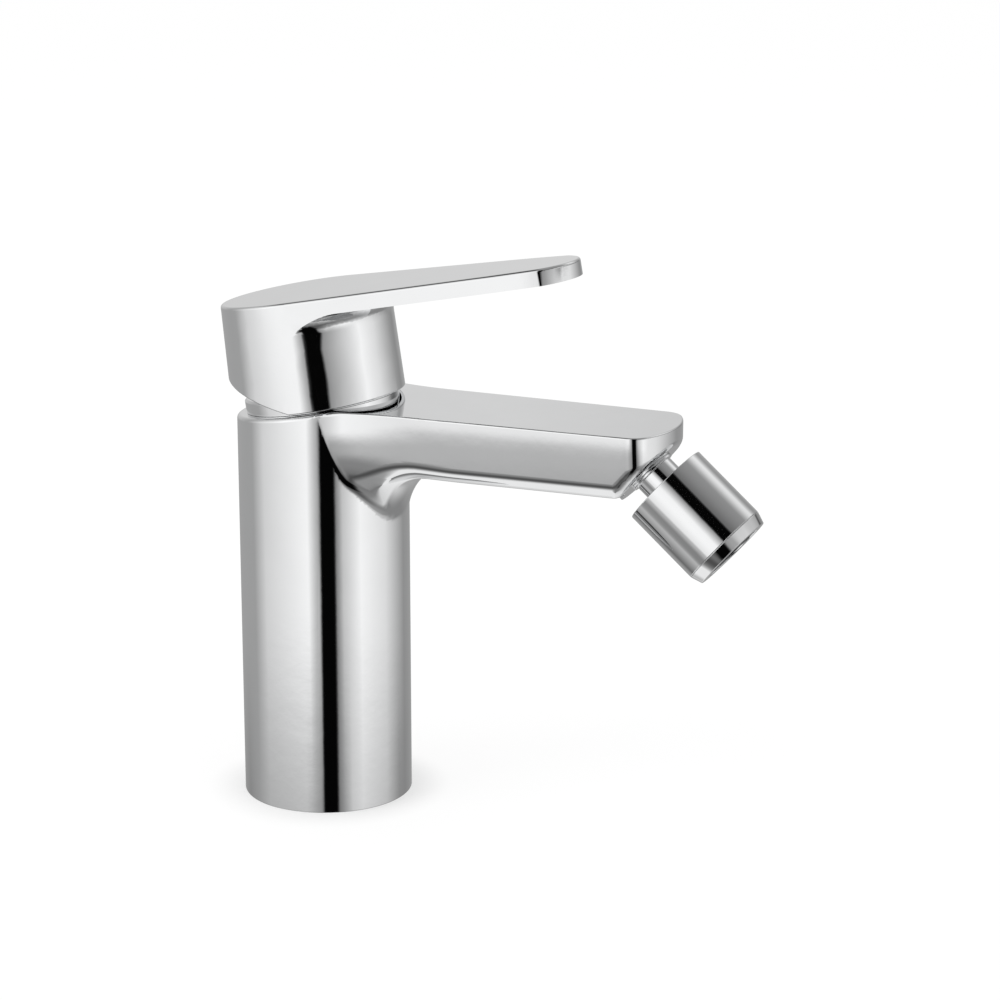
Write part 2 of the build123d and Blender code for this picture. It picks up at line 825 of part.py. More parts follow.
# Outlet
def make_ball_nipple():
    """The nipple screwed into the outlet face, with the ball that the outlet turns on."""
    solid = rod(bore_radius - fit_gap, -nipple_rise, -face_rise)
    solid += rod(nipple_flange_radius, -face_rise, nipple_flange_height - face_rise)
    solid += rod(neck_radius, -face_rise, ball_depth)
    solid += Pos(0, 0, ball_depth) * Sphere(ball_radius)
    return nozzle * (solid - rod(nipple_bore, -nipple_rise - overrun, outlet_length))


def make_nipple_seal():
    """The rubber ring between the nipple's flange and the outlet face."""
    low = -face_rise - nipple_seal_height
    return nozzle * ring(nipple_seal_outer, bore_radius, low, -face_rise)


def make_upper_seat():
    """The plastic ring above the ball's middle, inside the housing."""
    return nozzle * zone(seat_inner, seat_outer, upper_seat_start_angle, upper_seat_end_angle)


def make_lower_seat():
    """The plastic ring below the ball's middle, with the seal's groove."""
    solid = zone(seat_inner, seat_outer, lower_seat_start_angle, lower_seat_end_angle)
    return nozzle * (solid - ball_seal_ring(ball_seal_groove))


def ball_seal_ring(minor):
    """A round-section ring on the ball's surface."""
    radius, _, height = polar_point(ball_seal_radius, ball_seal_angle)
    return Pos(0, 0, height) * Torus(radius, minor)


def make_outlet_housing():
    """The round housing of the outlet, with the upper half of the socket."""
    solid = rod(outlet_radius, 0, outlet_length)
    mouth = [
        (0, -overrun),
        (mouth_radius, -overrun),
        (mouth_radius, 0),
        (mouth_throat, mouth_depth),
        (mouth_throat, ball_depth),
        (0, ball_depth),
    ]
    solid -= turned(mouth)
    socket = Pos(0, 0, ball_depth) * Sphere(socket_radius)
    solid -= socket & rod(socket_radius + overrun, mouth_depth, outlet_length)
    return nozzle * (solid - rod(outlet_bore, ball_depth, outlet_length + overrun))


def make_socket_ring():
    """The threaded ring with the lower half of the socket."""
    solid = rod(socket_ring_radius, ball_depth, socket_ring_end)
    throat = polar_point(socket_radius, socket_end_angle)[0]
    solid -= Pos(0, 0, ball_depth) * Sphere(socket_radius)
    return nozzle * (solid - rod(throat, ball_depth - overrun, socket_ring_end + overrun))


def make_aerator_insert():
    """The plastic cup whose jets break up the water."""
    solid = rod(insert_flange_radius, washer_end, insert_flange_end)
    solid += rod(insert_radius, insert_flange_end, insert_end)
    solid -= rod(insert_radius - insert_wall, washer_end + insert_floor, insert_end + overrun)
    for index in range(insert_jets):
        jet = rod(insert_jet_radius, washer_end - overrun, insert_end)
        solid -= Rot(0, 0, index * 360 / insert_jets) * Pos(insert_jet_circle, 0, 0) * jet
    return nozzle * solid


def make_screen(hole_radius, low, high):
    """A round plate with a field of holes."""
    return nozzle * (rod(screen_radius, low, high) - hole_field(hole_radius, low, high))


def make_fine_screens():
    """The thin strainers stacked under the coarse one."""
    screens = []
    for index in range(fine_screen_count):
        low = coarse_end + fine_screen_gap + index * (fine_screen_height + fine_screen_gap)
        plain = ring(screen_radius, screen_radius / 2, low, low + fine_screen_height)
        screens.append(nozzle * plain)
    return screens


def make_outlet_ring():
    """The bevelled ring at the mouth, whose lip holds the strainers."""
    points = [
        (ring_bore, insert_flange_end),
        (ring_shank_radius, insert_flange_end),
        (ring_shank_radius, outlet_length),
        (outlet_radius, outlet_length),
        (ring_end_radius, ring_end),
        (ring_lip_bore, ring_end),
        (ring_lip_bore, grid_end),
        (ring_bore, grid_end),
    ]
    return nozzle * turned(points)


def make_pieces():
    """Every piece of the mixer by its file name."""
    outside = handle_outside()
    return {
        "mixer_body": make_mixer_body(),
        "foot_seal": ring(foot_seal_outer, foot_seal_inner, 0, foot_seal_depth),
        "shroud_ring": make_shroud_ring(),
        "shroud_seal": make_shroud_seal(),
        "retaining_nut": make_retaining_nut(),
        "cartridge_base": make_cartridge_base(),
        "inlet_seals": make_inlet_seals(),
        "disc_gasket": ported_disc(fixed_disc_radius, gasket_w, fixed_w),
        "fixed_disc": ported_disc(fixed_disc_radius, fixed_w, moving_w),
        "moving_disc": make_moving_disc(),
        "disc_driver": make_disc_driver(),
        "cartridge_housing": make_cartridge_housing(),
        "upper_seal": make_upper_seal(),
        "limit_ring": make_limit_ring(),
        "stem_carrier": make_stem_carrier(),
        "pivot_pin": make_pivot_pin(),
        "lever_stem": make_lever_stem(),
        "handle": make_handle(outside),
        "stem_sleeve": make_stem_sleeve(),
        "set_screw": make_set_screw(),
        "index_plug": make_index_plug(outside),
        "ball_nipple": make_ball_nipple(),
        "nipple_seal": make_nipple_seal(),
        "upper_seat": make_upper_seat(),
        "lower_seat": make_lower_seat(),
        "ball_seal": nozzle * ball_seal_ring(ball_seal_minor),
        "outlet_housing": make_outlet_housing(),
        "socket_ring": make_socket_ring(),
        "flow_washer": nozzle * ring(insert_flange_radius, washer_bore, socket_ring_end, washer_end),
        "aerator_insert": make_aerator_insert(),
        "coarse_screen": make_screen(coarse_hole_radius, insert_end, coarse_end),
        "fine_screens": make_fine_screens(),
        "flow_grid": make_screen(grid_hole_radius, grid_start, grid_end),
        "outlet_ring": make_outlet_ring(),
    }


os.makedirs("parts", exist_ok=True)
for name, piece in make_pieces().items():
    solids = piece if isinstance(piece, list) else [piece]
    export_step(Compound(children=[s for item in solids for s in item.solids()]), f"parts/{name}.step")
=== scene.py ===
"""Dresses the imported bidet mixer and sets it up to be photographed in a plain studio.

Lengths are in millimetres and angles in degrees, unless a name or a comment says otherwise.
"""

import json
import logging
import math
from dataclasses import dataclass, field
from enum import Enum
from typing import Callable

import bmesh
import bpy
import numpy as np
from mathutils import Matrix, Vector
from mathutils.bvhtree import BVHTree
from mathutils.interpolate import poly_3d_calc


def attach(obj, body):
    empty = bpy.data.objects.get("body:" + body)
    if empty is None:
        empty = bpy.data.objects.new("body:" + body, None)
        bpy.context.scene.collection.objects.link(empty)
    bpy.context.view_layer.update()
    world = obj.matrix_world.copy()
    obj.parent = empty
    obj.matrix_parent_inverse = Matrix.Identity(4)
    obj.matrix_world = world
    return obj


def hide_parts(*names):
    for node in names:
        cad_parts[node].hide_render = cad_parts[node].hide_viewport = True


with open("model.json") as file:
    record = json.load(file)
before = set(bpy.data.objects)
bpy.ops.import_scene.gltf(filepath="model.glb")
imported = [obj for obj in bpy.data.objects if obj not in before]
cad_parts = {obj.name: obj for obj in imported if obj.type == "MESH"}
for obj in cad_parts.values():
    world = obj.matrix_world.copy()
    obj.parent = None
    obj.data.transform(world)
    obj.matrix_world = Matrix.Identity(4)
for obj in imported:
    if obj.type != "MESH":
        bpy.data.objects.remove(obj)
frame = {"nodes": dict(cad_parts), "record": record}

log = logging.getLogger("bidet_mixer")
MM = 0.001
MERGE_DISTANCE = 0.0005
LEVEL_SLACK = 0.01
PROBE_STEP = 0.02
TINY = 1e-9
NECK_HEIGHT = 109.3
NECK_SLOPE = 9.5
PHOTO_BEARING = 23.0
WHITE = (1.0, 1.0, 1.0, 1.0)

Pairs = tuple[tuple[float, float], ...]
Measure = Callable[[np.ndarray], np.ndarray]


@dataclass(frozen=True)
class NodeBench:
    """Adds nodes to one tree and joins them to the nodes before them."""

    tree: bpy.types.NodeTree

    def add(
        self, kind: str, inputs: dict[str | int, object] | None = None, **settings: object
    ) -> bpy.types.Node:
        """Adds one node.

        Args:
            kind: The node's type.
            inputs: What goes into its inputs, as feed takes it.
            **settings: The node's own options.

        Returns:
            The node.
        """
        node = self.tree.nodes.new(kind)
        for name, value in settings.items():
            setattr(node, name, value)
        self.feed(node, inputs or {})
        return node

    def feed(self, node: bpy.types.Node, inputs: dict[str | int, object]) -> None:
        """Fills the inputs of a node.

        Args:
            node: The node.
            inputs: For each input a value, or the socket that it is joined to.
        """
        for name, value in inputs.items():
            if isinstance(value, bpy.types.NodeSocket):
                self.tree.links.new(value, node.inputs[name])
            else:
                node.inputs[name].default_value = value

    def calc(self, kind: str, *values: bpy.types.NodeSocket | float) -> bpy.types.NodeSocket:
        """Adds one step of arithmetic, and gives the socket of its result."""
        return self.add("ShaderNodeMath", dict(enumerate(values)), operation=kind).outputs["Value"]

    def mix_shaders(
        self, share: bpy.types.NodeSocket, first: bpy.types.Node, second: bpy.types.Node
    ) -> bpy.types.NodeSocket:
        """Mixes the results of two shaders.

        Args:
            share: How much of the second shader shows, from 0 to 1.
            first: The first shader.
            second: The second shader.

        Returns:
            The mixed result.
        """
        inputs = {"Fac": share, 1: first.outputs[0], 2: second.outputs[0]}
        return self.add("ShaderNodeMixShader", inputs).outputs["Shader"]


class Grain(Enum):
    """How a surface was finished, which sets the shape of its fine relief."""

    POLISHED = "polished"
    TURNED = "turned"
    MOULDED = "moulded"
    LAPPED = "lapped"

    def stretch(self) -> tuple[float, float, float]:
        """How the relief is drawn out along each axis: in rings on a turned surface."""
        return (0.25, 0.25, 3.0) if self is Grain.TURNED else (1.0, 1.0, 1.0)


@dataclass(frozen=True)
class Finish:
    """One finish: what a surface is made of and how smooth it came out.

    Attributes:
        grain_size: How wide one grain of the fine relief is.
        roughness: The least and the most roughness.
        relief: How strongly the fine relief shows, from 0 to 1.
        tint: How far the colour drifts darker and lighter, as a share.
        drift_scale: How many patches of the slow drift go into a metre.
        drift_span: Where in the drift the darker and the lighter colour lie.
        details: How many finer layers the drift and the fine relief have.
        depth: How deep the fine relief is, as a share of a grain.
    """

    name: str
    colour: tuple[float, float, float]
    grain: Grain
    grain_size: float
    roughness: tuple[float, float]
    relief: float
    tint: float
    metal: float = 0.0
    drift_scale: float = 90.0
    drift_span: tuple[float, float] = (0.3, 0.7)
    details: tuple[float, float] = (3.0, 6.0)
    depth: float = 0.2

    def material(self) -> bpy.types.Material:
        """Gives the finish's material, with its fine relief and its slow drift of colour.

        Returns:
            The node-based material, one for all pieces of this finish.
        """
        made = bpy.data.materials.get(self.name)
        if made is not None:
            return made
        made = bpy.data.materials.new(self.name)
        made.use_nodes = True
        bench = NodeBench(made.node_tree)
        place = bench.add("ShaderNodeTexCoord").outputs["Object"]
        drawn_out = {"Vector": place, "Scale": self.grain.stretch()}
        where = bench.add("ShaderNodeMapping", drawn_out).outputs["Vector"]
        drift = self._noise(bench, where, self.drift_scale, self.details[0])
        fine = self._noise(bench, where, 1.0 / (self.grain_size * MM), self.details[1])
        least, most = self.roughness
        smooth = bench.add("ShaderNodeMapRange", {"Value": drift, "To Min": least, "To Max": most})
        depth = self.grain_size * MM * self.depth
        bump = {"Height": fine, "Strength": self.relief, "Distance": depth}
        surface = {
            "Metallic": self.metal,
            "Base Color": self._colours(bench, drift),
            "Roughness": smooth.outputs["Result"],
            "Normal": bench.add("ShaderNodeBump", bump).outputs["Normal"],
        }
        bench.feed(made.node_tree.nodes["Principled BSDF"], surface)
        return made

    def _noise(
        self, bench: NodeBench, where: bpy.types.NodeSocket, scale: float, detail: float
    ) -> bpy.types.NodeSocket:
        """Adds a noise on the piece's own coordinates.

        Args:
            bench: The material's nodes.
            where: The coordinates.
            scale: How many grains go into a metre.
            detail: How many finer layers the noise has.

        Returns:
            The noise.
        """
        inputs = {"Vector": where, "Scale": scale, "Detail": detail}
        return bench.add("ShaderNodeTexNoise", inputs).outputs["Fac"]

    def _colours(self, bench: NodeBench, drift: bpy.types.NodeSocket) -> bpy.types.NodeSocket:
        """Lets the colour drift a little darker and lighter from place to place.

        Args:
            bench: The material's nodes.
            drift: The noise that the colour follows.

        Returns:
            The colour.
        """
        ramp = bench.add("ShaderNodeValToRGB", {"Fac": drift})
        low, high = ramp.color_ramp.elements
        low.position, high.position = self.drift_span
        low.color = (*[c * (1.0 - self.tint) for c in self.colour], 1.0)
        high.color = (*[min(1.0, c * (1.0 + self.tint)) for c in self.colour], 1.0)
        return ramp.outputs["Color"]


FINISH_OF_SLOT = {
    "chrome": Finish(
        "chrome_plate", (0.9, 0.905, 0.91), Grain.POLISHED,
        grain_size=6.0, roughness=(0.02, 0.045), relief=0.012, tint=0.012, metal=1.0,
    ),
    "brass": Finish(
        "turned_brass", (0.72, 0.55, 0.29), Grain.TURNED,
        grain_size=0.5, roughness=(0.22, 0.36), relief=0.2, tint=0.06, metal=1.0,
    ),
    "steel": Finish(
        "ground_steel", (0.6, 0.61, 0.63), Grain.TURNED,
        grain_size=0.3, roughness=(0.2, 0.34), relief=0.18, tint=0.05, metal=1.0,
    ),
    "rubber": Finish(
        "moulded_rubber", (0.028, 0.028, 0.03), Grain.MOULDED,
        grain_size=0.35, roughness=(0.55, 0.75), relief=0.25, tint=0.2,
    ),
    "white_plastic": Finish(
        "white_acetal", (0.8, 0.79, 0.76), Grain.MOULDED,
        grain_size=0.4, roughness=(0.3, 0.42), relief=0.12, tint=0.03,
    ),
    "dark_plastic": Finish(
        "dark_acetal", (0.055, 0.056, 0.06), Grain.MOULDED,
        grain_size=0.4, roughness=(0.3, 0.45), relief=0.15, tint=0.12,
    ),
    "ceramic": Finish(
        "lapped_ceramic", (0.86, 0.84, 0.78), Grain.LAPPED,
        grain_size=0.2, roughness=(0.08, 0.16), relief=0.05, tint=0.03,
    ),
    "plug": Finish(
        "grey_plug_plastic", (0.42, 0.43, 0.45), Grain.MOULDED,
        grain_size=0.4, roughness=(0.18, 0.28), relief=0.1, tint=0.05,
    ),
}


def body_of(node: str) -> str:
    """Finds the body that a piece of the frame rides on.

    Args:
        node: The piece's name in the frame.

    Returns:
        The body's name.
    """
    bodies = frame["record"]["behaviour"]["bodies"]
    return next(name for name, members in bodies.items() if node in members)


def slot_of(node: str) -> str:
    """Finds the material slot of a piece of the frame.

    Args:
        node: The piece's name in the frame.

    Returns:
        The slot's name.
    """
    return next(s["material_slot"] for s in frame["record"]["subparts"] if s["node"] == node)


def dress(mesh: bpy.types.Mesh, slot: str) -> None:
    """Gives a mesh the finish of a slot, and no other."""
    mesh.materials.clear()
    mesh.materials.append(FINISH_OF_SLOT[slot].material())


def place_piece(name: str, mesh: bpy.types.Mesh, node: str) -> bpy.types.Object:
    """Puts a finished mesh into the scene in place of a node of the frame.

    Args:
        name: The new piece's name.
        mesh: Its mesh, in its place.
        node: The node that it stands for.

    Returns:
        The new object.
    """
    piece = bpy.data.objects.new(name, mesh)
    bpy.context.scene.collection.objects.link(piece)
    slot = slot_of(node)
    dress(mesh, slot)
    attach(piece, body_of(node))
    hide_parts(node)
    log.info("%s stands for %s, %d faces", name, node, len(mesh.polygons))
    return piece


def even_normals(piece: bpy.types.Object) -> None:
    """Lets flat faces stay flat where they run into rounded edges.

    Args:
        piece: The piece to shade.
    """
    weights = piece.modifiers.new("even_normals", "WEIGHTED_NORMAL")
    weights.mode = "FACE_AREA"
    weights.weight = 100
    weights.keep_sharp = True


def mark_creases(mesh: bmesh.types.BMesh, angle: float) -> None:
    """Shades the mesh smooth, apart from edges that turn more than an angle.

    Args:
        mesh: The mesh.
        angle: The angle.
    """
    for face in mesh.faces:
        face.smooth = True
    for edge in mesh.edges:
        edge.smooth = len(edge.link_faces) == 2 and edge.calc_face_angle(0.0) < math.radians(angle)


def smooth_share(value: np.ndarray, start: float, end: float) -> np.ndarray:
    """Grows smoothly from 0 to 1 between two values.

    Args:
        value: The values to look at.
        start: Where the growth starts.
        end: Where it ends.

    Returns:
        The share at each value.
    """
    share = np.clip((value - start) / (end - start), 0.0, 1.0)
    return share * share * (3.0 - 2.0 * share)


def growth(measure: Measure, places: np.ndarray) -> list[np.ndarray]:
    """Finds how much a measure grows across two probe steps along each axis.

    Args:
        measure: Gives a number, or a row of them, for each point.
        places: The points, one to a row.

    Returns:
        The growth, axis by axis.
    """
    shifts = np.eye(3) * PROBE_STEP
    return [measure(places + shift) - measure(places - shift) for shift in shifts]


def steepest_way(measure: Measure, places: np.ndarray) -> np.ndarray:
    """Finds the way in which a measure grows fastest at each point.

    Args:
        measure: Gives a number for each point.
        places: The points, one to a row.

    Returns:
        Unit vectors, one to a row.
    """
    grown = np.stack(growth(measure, places), axis=1)
    return grown / np.maximum(np.linalg.norm(grown, axis=1, keepdims=True), TINY)


@dataclass
class Casting:
    """A cast and polished piece whose outside is the frame's own form."""

    node: str
    crease_angle: float = 24.0

    def build(self) -> bpy.types.Object:
        """Merges the frame's triangles into one skin and polishes it.

        Returns:
            The piece.
        """
        skin = bmesh.new()
        skin.from_mesh(frame["nodes"][self.node].data)
        bmesh.ops.remove_doubles(skin, verts=skin.verts, dist=MERGE_DISTANCE * MM)
        self.shape(skin)
        mark_creases(skin, self.crease_angle)
        mesh = bpy.data.meshes.new(f"{self.node}_skin")
        skin.to_mesh(mesh)
        skin.free()
        self.finish(mesh)
        return place_piece(f"{self.node}_polished", mesh, self.node)

    def shape(self, skin: bmesh.types.BMesh) -> None:
        """Leaves the skin as it was cast.

        Args:
            skin: The merged skin.
        """

    def finish(self, mesh: bpy.types.Mesh) -> None:
        """Leaves the normals to the creases that are already marked.

        Args:
            mesh: The finished skin.
        """


@dataclass(frozen=True)
class Dressing:
    """How the polisher's wheel drew the spout's flanks and its root.

    The flanks lean in towards the underside, so that low down they cut into the round column
    instead of running out of it, and a wide hollow carries the underside down to the column.

    Attributes:
        top: The height of the spout's flat top.
        underside: The height of its underside.
        column: The radius of the round column.
        half_width: Half the spout's width, measured at the column's axis.
        taper: How much each flank runs in towards the nose.
        flank_arc: The radius that carries a flank to the column, seen from above.
        hollow: The radius of the hollow under the root.
        edge: The rounding between flank and underside.
        throat: The rounding between column and spout.
        rim: How far below the top the root's form starts and is whole.
        root_end: How far out the root's form starts to fade and is gone.
        flank_start: How far out the flanks start to lean and lean in full.
        flank_inside: How far from the middle the lean starts and is whole.
        lean: Pairs of the depth below the top and how much a flank leans there.
        root_lean: The same at the root.
        root_lean_end: How far out the root's lean starts to fade and is gone.
        rounds: How often the points are drawn on to the root's form.
        margin: How far past the flank's start the throat is first rounded.
        likeness: The limits of how alike the ways of column and spout may be.
    """

    top: float = 111.3
    underside: float = 93.7
    column: float = 23.0
    half_width: float = 17.9
    taper: float = 1.23
    flank_arc: float = 65.0
    hollow: float = 15.0
    edge: float = 5.5
    throat: float = 6.0
    rim: tuple[float, float] = (1.0, 2.2)
    root_end: tuple[float, float] = (34.0, 46.0)
    flank_start: tuple[float, float] = (12.0, 30.0)
    flank_inside: tuple[float, float] = (7.0, 13.0)
    lean: Pairs = ((0.0, 1.3), (4.0, 3.3), (8.5, 4.3), (12.6, 4.8), (17.7, 4.8))
    root_lean: Pairs = ((0.0, 0.5), (5.0, 1.8), (11.0, 5.0), (16.5, 11.0), (21.0, 26.0), (34.0, 32.0))
    root_lean_end: tuple[float, float] = (16.0, 38.0)
    rounds: int = 5
    margin: float = 0.1
    likeness: tuple[float, float] = (-0.99, 0.999)

    def drawn(self, places: np.ndarray) -> np.ndarray:
        """Moves points of the cast outside to where the wheel left them.

        Args:
            places: The points, one to a row.

        Returns:
            The moved points.
        """
        moved = self.leant(places)
        share = self.root_share(places)
        root = share > 0.0
        drawn = moved[root]
        for _ in range(self.rounds):
            drawn = drawn - self.facing(drawn) * self.outside(drawn)[:, None]
        moved[root] += (drawn - moved[root]) * share[root][:, None]
        return moved

    def leant(self, places: np.ndarray) -> np.ndarray:
        """Leans the spout's flanks in, and leaves the rest as it was cast.

        Args:
            places: The points, one to a row.

        Returns:
            The leant points.
        """
        x, y, z = places[:, 0], places[:, 1], places[:, 2]
        share = smooth_share(x, *self.flank_start) * smooth_share(np.abs(y), *self.flank_inside)
        return np.stack([x, y - np.sign(y) * self._inset(z, self.lean) * share, z], axis=1)

    def root_share(self, places: np.ndarray) -> np.ndarray:
        """Finds how far each point belongs to the root.

        Args:
            places: The points, one to a row.

        Returns:
            The shares, 0 out on the spout and on the top rim.
        """
        sloping = NECK_HEIGHT + places[:, 0] * math.tan(math.radians(NECK_SLOPE))
        below = np.minimum(self.top, sloping) - places[:, 2]
        return (1.0 - smooth_share(places[:, 0], *self.root_end)) * smooth_share(below, *self.rim)

    def outside(self, places: np.ndarray) -> np.ndarray:
        """Finds how far points lie outside the column and the root of the spout.

        Args:
            places: The points, one to a row.

        Returns:
            The distances, below zero inside.
        """
        radial = np.hypot(places[:, 0], places[:, 1])
        column, spout = radial - self.column, self._spout(places)
        round_way = np.stack([places[:, 0], places[:, 1], np.zeros_like(radial)], axis=1)
        round_way /= np.maximum(radial, TINY)[:, None]
        likeness = np.sum(round_way * steepest_way(self._spout, places), axis=1)
        likeness = np.clip(likeness, *self.likeness)
        # The two ways aren't square to each other, so the throat's round is a slanted sum.
        u, v = self.throat - column, self.throat - spout
        square = np.maximum(u * u + v * v - 2.0 * u * v * likeness, 0.0) / (1.0 - likeness**2)
        filled = (u > likeness * v) & (v > likeness * u) & self._past_start(places, self.margin)
        return np.where(filled, self.throat - np.sqrt(square), np.minimum(column, spout))

    def facing(self, places: np.ndarray) -> np.ndarray:
        """The way that the column and the root face at each point, as unit vectors."""
        return steepest_way(self.outside, places)

    def _spout(self, places: np.ndarray) -> np.ndarray:
        """Finds how far points lie outside the root of the spout alone.

        Args:
            places: The points, one to a row.

        Returns:
            The distances, below zero inside.
        """
        x, y, z = places[:, 0], np.abs(places[:, 1]), places[:, 2]
        # The flank: an arc that leaves the column, then the tapering straight, both leaning in.
        turn = math.radians(self.taper)
        along = x * math.cos(turn) - y * math.sin(turn)
        out = x * math.sin(turn) + y * math.cos(turn)
        width = self.half_width * math.cos(turn)
        reach = self._reach()
        arc = self.flank_arc - np.hypot(along - reach, out - width - self.flank_arc)
        far = smooth_share(x, *self.root_lean_end)
        inset = self._inset(z, self.root_lean) * (1.0 - far) + self._inset(z, self.lean) * far
        flank = np.where(along < reach, arc, out - width) + inset
        # The underside, which the hollow carries down to the column.
        across = self.column + self.hollow - np.hypot(x, y)
        down = z - self.underside + self.hollow
        curve = self.hollow - np.hypot(across, down)
        floor = np.where(across > 0, np.where(down > 0, curve, across), self.underside - z)
        # The rounded edge between the two.
        u, v = np.maximum(flank + self.edge, 0.0), np.maximum(floor + self.edge, 0.0)
        inner = np.minimum(np.maximum(flank, floor), -self.edge)
        return np.where(self._past_start(places, 0.0), inner + np.hypot(u, v), self.column)

    def _reach(self) -> float:
        """How far out along the spout the flank's arc runs into its straight part."""
        width = self.half_width * math.cos(math.radians(self.taper)) + self.flank_arc
        return math.sqrt((self.column + self.flank_arc) ** 2 - width**2)

    def _past_start(self, places: np.ndarray, margin: float) -> np.ndarray:
        """Tells which points lie beyond the place where the flank leaves the column.

        Args:
            places: The points, one to a row.
            margin: How far beyond.

        Returns:
            One answer for each point.
        """
        turn = math.radians(self.taper)
        along = places[:, 0] * math.cos(turn) - np.abs(places[:, 1]) * math.sin(turn)
        return along > self._reach() * self.column / (self.column + self.flank_arc) + margin

    def _inset(self, z: np.ndarray, leans: Pairs) -> np.ndarray:
        """Adds up how far a flank has come in at each height.

        Args:
            z: The heights.
            leans: Pairs of the depth below the top and how much the flank leans there.

        Returns:
            The insets.
        """
        depth = np.clip(self.top - z, 0.0, None)
        inset = np.zeros_like(depth)
        for (start, lean), (end, further) in zip(leans, leans[1:]):
            run = np.clip(depth - start, 0.0, end - start)
            slant = math.tan(math.radians(lean))
            turn = (math.tan(math.radians(further)) - slant) / (end - start)
            inset += run * slant + run * run * turn / 2
        return inset


@dataclass
class BodyCasting(Casting):
    """The body and spout, whose flanks and root follow the polisher's wheel.

    Attributes:
        front: How far out the drawn front starts.
        low: How high up it starts.
        outside: How far from the axis a point of the outside is at least.
        top_facing: How far up a face looks at least, from 0 to 1, to be part of the top.
        levels: The first height, the last and the step of each run of level cuts.
        slices: The same for the upright cuts across the spout.
        normals: The normals of the finished skin's corners.
    """

    dressing: Dressing = Dressing()
    front: float = 5.0
    low: float = 72.0
    outside: float = 22.8
    top_facing: float = 0.9
    levels: tuple[tuple[float, float, float], ...] = ((72.5, 82.0, 1.0), (82.7, 110.5, 0.6))
    slices: tuple[tuple[float, float, float], ...] = (
        (6.0, 28.0, 0.6),
        (28.6, 47.0, 1.8),
        (50.0, 96.0, 6.0),
    )
    normals: list[Vector] = field(default_factory=list)

    def shape(self, skin: bmesh.types.BMesh) -> None:
        """Cuts the front into smaller faces and draws them to the polished form.

        Args:
            skin: The merged skin.
        """
        cast = self._cast_normals(skin)
        whole = skin.copy()
        self._cut(skin)
        places = np.array([tuple(v.co) for v in skin.verts]) / MM
        chosen = self._chosen(places)
        moved = places.copy()
        moved[chosen] = self.dressing.drawn(places[chosen])
        rows = self._spread_normals(skin, whole, cast)
        whole.free()
        self.normals = self._drawn_normals(skin, rows, places, moved)
        for vert, place in zip(skin.verts, moved):
            vert.co = Vector(place) * MM

    def finish(self, mesh: bpy.types.Mesh) -> None:
        """Gives the outside its even normals, so that it shines like one surface.

        Args:
            mesh: The finished skin.
        """
        mesh.normals_split_custom_set(self.normals)

    def _chosen(self, places: np.ndarray) -> np.ndarray:
        """Picks the points of the outside, and not those of the bores."""
        wide = np.hypot(places[:, 0], places[:, 1]) > self.outside
        return wide & (places[:, 0] > self.front) & (places[:, 2] > self.low)

    def _drawn_normals(
        self,
        skin: bmesh.types.BMesh,
        rows: list[list[Vector]],
        places: np.ndarray,
        moved: np.ndarray,
    ) -> list[Vector]:
        """Turns the normals with the skin, and at the root takes those of its form.

        Args:
            skin: The skin that has been cut, with its points still in place.
            rows: The casting's normals, one row for each face.
            places: The points of the skin.
            moved: The same points when they are drawn.

        Returns:
            The normals, corner by corner.
        """
        chosen = self._chosen(places)
        root = self.dressing.root_share(places) * chosen
        facing = [Vector(way) for way in self.dressing.facing(moved)]
        turns = self._turns(places)
        skin.verts.index_update()
        normals = []
        for face, row in zip(skin.faces, rows):
            for loop, normal in zip(face.loops, row):
                spot = loop.vert.index
                leant = (turns[spot] @ normal).normalized() if chosen[spot] else normal
                normals.append(leant.lerp(facing[spot], root[spot]).normalized())
        return normals

    def _turns(self, places: np.ndarray) -> list[Matrix]:
        """Finds how the leaning turns the skin.

        Args:
            places: The points, one to a row.

        Returns:
            One matrix for each point, which takes its normal.
        """
        columns = [change / (2 * PROBE_STEP) for change in growth(self.dressing.leant, places)]
        jacobians = np.stack(columns, axis=2)
        return [Matrix(j).inverted_safe().transposed() for j in jacobians.tolist()]

    def _cast_normals(self, skin: bmesh.types.BMesh) -> list[Vector]:
        """Reads the evenly shaded normals of the whole casting.

        Args:
            skin: The merged skin, before it is cut.

        Returns:
            The normals, corner by corner.
        """
        mark_creases(skin, self.crease_angle)
        mesh = bpy.data.meshes.new(f"{self.node}_cast")
        skin.to_mesh(mesh)
        cast = bpy.data.objects.new(f"{self.node}_cast", mesh)
        bpy.context.scene.collection.objects.link(cast)
        even_normals(cast)
        shaded = cast.evaluated_get(bpy.context.evaluated_depsgraph_get())
        normals = [corner.vector.copy() for corner in shaded.data.corner_normals]
        bpy.data.objects.remove(cast)
        bpy.data.meshes.remove(mesh)
        return normals

    def _spread_normals(
        self, skin: bmesh.types.BMesh, whole: bmesh.types.BMesh, cast: list[Vector]
    ) -> list[list[Vector]]:
        """Gives each corner of the cut faces its share of the casting's normals.

        Args:
            skin: The skin that has been cut.
            whole: The skin before it was cut.
            cast: The normals of the whole skin's corners.

        Returns:
            One row of normals for each face.
        """
        whole.faces.ensure_lookup_table()
        whole.faces.index_update()
        tree = BVHTree.FromBMesh(whole)
        starts, total = [], 0
        for face in whole.faces:
            starts.append(total)
            total += len(face.loops)
        rows = []
        for face in skin.faces:
            source = whole.faces[tree.find_nearest(face.calc_center_median())[2]]
            corners = [loop.vert.co for loop in source.loops]
            known = cast[starts[source.index] : starts[source.index] + len(corners)]
            row = []
            for loop in face.loops:
                weights = poly_3d_calc(corners, loop.vert.co)
                row.append(sum((n * w for n, w in zip(known, weights)), Vector()))
            rows.append(row)
        return rows

